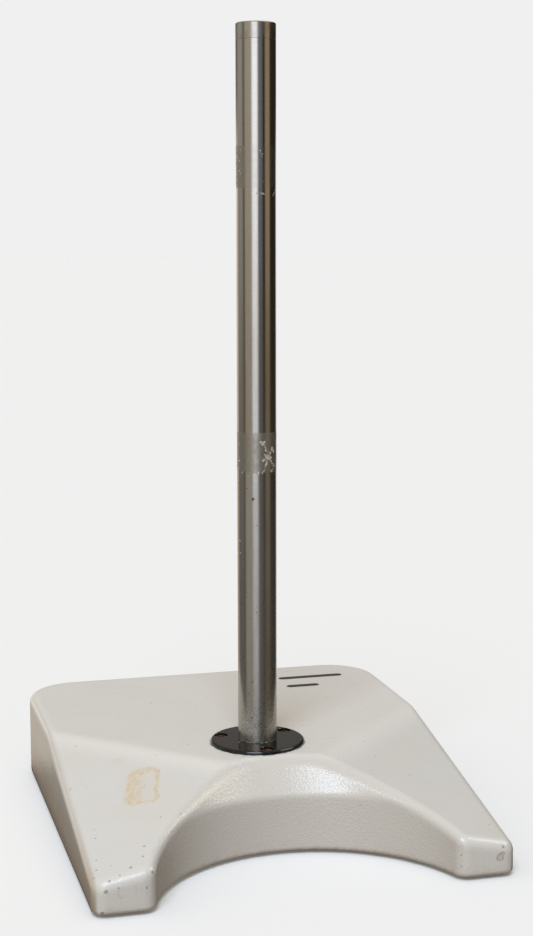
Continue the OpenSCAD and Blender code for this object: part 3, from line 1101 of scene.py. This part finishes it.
def add_light(name, azimuth, elevation, strength, colour, softness, shines):
    """A far, soft light, placed by its direction as seen from the stand."""
    data = bpy.data.lights.new(name, "SUN")
    data.energy = strength
    data.color = colour
    data.angle = math.radians(softness)
    lamp = new_object(name, data)
    lamp.visible_diffuse = shines
    turn, rise = math.radians(azimuth), math.radians(elevation)
    away = Vector((math.sin(turn) * math.cos(rise), -math.cos(turn) * math.cos(rise), math.sin(rise)))
    lamp.rotation_mode = "QUATERNION"
    lamp.rotation_quaternion = (-away).to_track_quat("-Z", "Y")


class Studio(Nodes):
    """The light round the stand."""

    def __init__(self):
        world = bpy.data.worlds.new("studio")
        world.use_nodes = True
        bpy.context.scene.world = world
        super().__init__(world.node_tree)
        self.tree.nodes.clear()
        self.direction = self.node("TexCoord", {})["Generated"]

    def ambient(self):
        """Light that changes smoothly between the six sides."""
        total = (0, 0, 0)
        for side, colour in AMBIENT.items():
            facing = self.most(self.vector("DOT_PRODUCT", self.direction, side), 0)
            share = self.times(facing, facing)
            total = self.vector("ADD", self.vector("SCALE", colour, scale=share), total)
        return total

    def mirrored(self):
        """The strips, dimmer towards the counter's edge and dark below it, and a plain ceiling."""
        height = self.part(2, self.direction)
        level = self.vector("NORMALIZE", self.vector("MULTIPLY", self.direction, (1, 1, 0)))
        total = STUDIO_DARK
        for azimuth, half_width, soft, top, low_share, colour in STRIPS.values():
            turn = math.radians(azimuth)
            facing = self.vector("DOT_PRODUCT", level, (math.sin(turn), -math.cos(turn), 0))
            outer, inner = half_width + soft, max(half_width - soft, 0)
            share = self.step(facing, math.cos(math.radians(outer)), math.cos(math.radians(inner)))
            rim = math.sin(math.radians(top))
            below_top = self.step(height, rim + 0.02, rim - 0.02)
            rise = self.step(height, STRIP_DIM, STRIP_BRIGHT, low_share, 1.10)
            share = self.times(share, below_top, rise)
            total = self.vector("ADD", self.vector("SCALE", colour, scale=share), total)
        low, high = COUNTER_EDGE - COUNTER_SOFT, COUNTER_EDGE + COUNTER_SOFT
        edge = self.step(height, low, high, BELOW_COUNTER, 1.0)
        walls = self.vector("SCALE", total, scale=edge)
        walls = self.mix(self.step(height, FLOOR_BEGINS, FLOOR_PLAIN), walls, STUDIO_FLOOR)
        return self.mix(self.step(height, CEILING_BEGINS, CEILING_PLAIN), walls, STUDIO_CEILING)

    def finish(self):
        """The camera sees plain pale air, mirrors see the strips, and the rest gets the soft light."""
        ray = self.node("LightPath", {})
        lit = self.mix(ray["Is Glossy Ray"], self.ambient(), self.mirrored())
        air = self.node("Background", {"Color": self.mix(ray["Is Camera Ray"], lit, PALE)})
        self.node("OutputWorld", {0: air[0]})


# ------------ the stand

def add_casting():
    """The painted casting, with the recess and the bolt hole that the column's flange needs."""
    skin = cast_skin()
    below, bolt_hole = BOSS_Z - 1 * MM, 6.75 * MM
    hub, recess = HUB_R + 0.1 * MM, FLANGE_R + 0.15 * MM
    profile = [
        (0, below), (bolt_hole, below), (bolt_hole, FLANGE_LOW.z), (hub, FLANGE_LOW.z),
        (hub, FLANGE_SEAT), (recess, FLANGE_SEAT), (recess, FLANGE_TOP), (0, FLANGE_TOP),
    ]
    cut(skin, lathe("column_seat", profile, (0, COLUMN_Y)))
    mark_zones(skin.data)
    finish_piece(skin, "painted_casting", paint_material(), "base_casting")


def mark_zones(mesh):
    """Writes how strong the leather grain is at each point, and which points are in the hollow."""
    points = np.array([v.co for v in mesh.vertices])
    x, y, z = points.T
    near_cutout = np.clip(1 - (cutout_distance(x, y, z) - 1 * MM) / (9 * MM), 0, 1)
    near_front = np.clip(1 - (y - FRONT_Y) / (18 * MM), 0, 1) * 0.6
    grain = 0.11 + 0.79 * np.maximum(near_cutout, near_front)
    hollow = np.clip((-shell_distance(x, y, z) - 3 * MM) / (3 * MM), 0, 1)
    near_flange = np.hypot(x, y - COLUMN_Y) <= FLANGE_R + 1 * MM
    hollow[near_flange & (z > FLANGE_LOW.z - 0.5 * MM)] = 0
    for name, values in (("grain", grain), ("hollow", hollow)):
        layer = mesh.attributes.new(name, "FLOAT", "POINT")
        layer.data.foreach_set("value", values.astype(np.float32))


def add_column():
    """The column with its end plug, and the torn label that clings to it."""
    finish_piece(turned_tube(), "column_steel", steel_material(), "column_tube")
    finish_piece(turned_plug(), "plug_steel", turned_steel_material(), "column_end_plug")
    near, far = 0.45 * MM, 3 * MM
    flakes = label_flakes("torn_label_low", 11, [
        (near, [
            ((-90, 0.3275), (-84, 0.3245), 7, 1.6), ((-84, 0.3245), (-68, 0.3165), 9, 1.1),
            ((-72, 0.3155), (-64, 0.3130), 9, 2.3), ((-64, 0.3165), (-54, 0.3200), 5, 1.0),
            ((-55, 0.3215), (-48, 0.3190), 6, 1.7), ((-72, 0.3140), (-88, 0.3115), 7, 1.2),
            ((-76, 0.3115), (-80, 0.3045), 7, 1.1), ((-80, 0.3040), (-90, 0.3010), 5, 1.0),
            ((-62, 0.3125), (-47, 0.3065), 8, 1.1), ((-46, 0.3060), (-54, 0.3020), 5, 1.1),
            ((-99, 0.3015), (-105, 0.3005), 4, 1.0), ((-40, 0.3080), (-36, 0.3060), 3, 0.8),
        ]),
        (far, [((-172, 0.3300), (-176, 0.2960), 16, 1.3), ((-178, 0.285), (-178, 0.180), 8, 0.8)]),
    ])
    smears = label_flakes("torn_label_high", 23, [
        (far, [((-176, 0.562), (-166, 0.535), 12, 1.3)]),
        (near, [
            ((-104, 0.524), (-84, 0.524), 7, 0.9), ((-92, 0.558), (-86, 0.552), 5, 0.9),
            ((-50, 0.522), (-34, 0.526), 4, 0.7),
        ]),
        (far, [((-110, 0.560), (-80, 0.520), 8, 0.5)]),
    ])
    label = label_material()
    for piece in (flakes, smears):
        finish_piece(piece, "seal_compound", label)


def add_flange():
    finish_piece(turned_flange(), "black_flange", black_material(), "column_flange")
    lacquer = lacquer_material()
    for i in range(SCREW_COUNT):
        finish_piece(socket_screw(i + 1), "screw_lacquer", lacquer, f"flange_screw_{i + 1}")


def add_feet():
    rubber = rubber_material()
    for i in range(FOOT_COUNT):
        finish_piece(rubber_foot(i + 1), "foot_rubber", rubber, f"foot_{i + 1}")


def dress_cad_pieces():
    """Materials for the pieces whose CAD shape is shown as it is."""
    zinc = fixing_material("bright_zinc", (0.62, 0.63, 0.64), (0.42, 0.42, 0.40), 0.25)
    oiled = fixing_material("oiled_steel", (0.30, 0.30, 0.31), (0.16, 0.15, 0.14), 0.32)
    looks = {"column_seal": seal_material(), "printed_mark": ink_material(), "draw_washer": zinc}
    for node in ("draw_bolt", "draw_spring_washer", "column_foot_plug"):
        looks[node] = oiled
    for i in range(FOOT_COUNT):
        looks[f"foot_washer_{i + 1}"] = zinc
        looks[f"foot_screw_{i + 1}"] = zinc
    for node, material in looks.items():
        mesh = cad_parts[node].data
        mesh.materials.clear()
        mesh.materials.append(material)


add_camera()
add_floor()
for light, settings in LIGHTS.items():
    add_light(light, *settings)
Studio().finish()
add_casting()
add_column()
add_flange()
add_feet()
dress_cad_pieces()

bpy.context.scene.view_settings.view_transform = "Standard"
